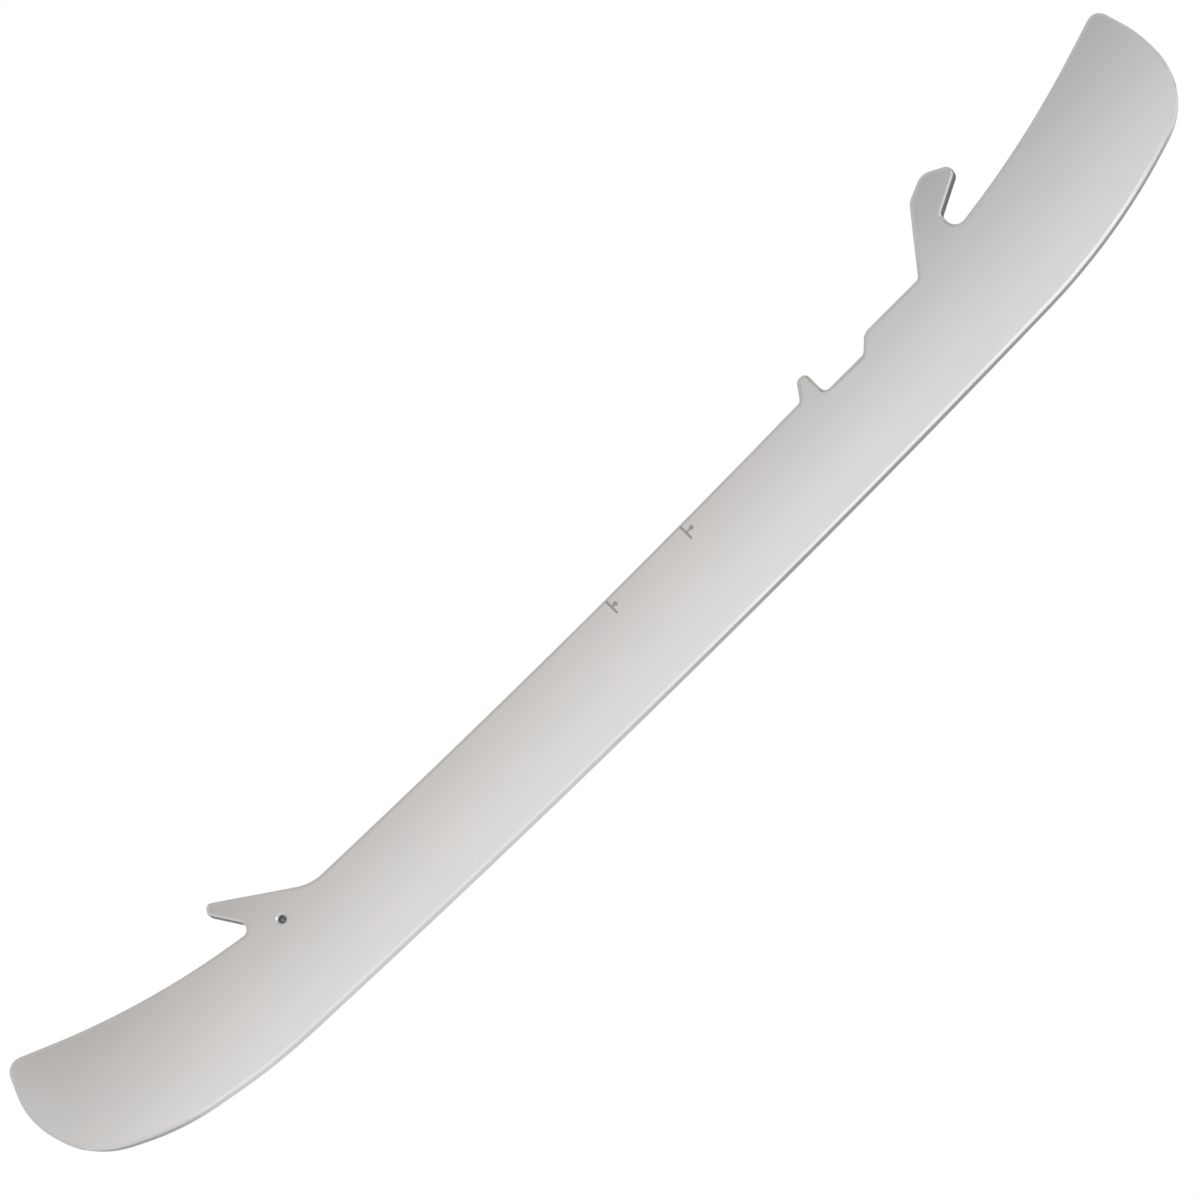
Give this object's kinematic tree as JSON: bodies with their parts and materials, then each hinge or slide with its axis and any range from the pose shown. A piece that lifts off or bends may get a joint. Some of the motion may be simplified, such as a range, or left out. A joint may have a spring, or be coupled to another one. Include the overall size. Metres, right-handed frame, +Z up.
{
  "type": "ice hockey skate runner",
  "caption": "Steel runner of an ice hockey skate: a thin blade with a rockered, hollow-ground running edge, and a toe spur, latch tooth and heel hook that fix it in a holder.",
  "frame": {"origin": "under mid-length and mid-thickness, at the height of the lowest point of the running edge", "axes": "+X from the toe end to the heel end, +Y through the plate away from the marked face, +Z up from the ice to the top edge"},
  "size_m": [0.272, 0.003, 0.0363],
  "materials": {
    "runner_steel": "satin faces with polished edge breaks and a ground running edge"
  },
  "bodies": {
    "root": {"runner": "runner_steel"}
  },
  "joints": []
}
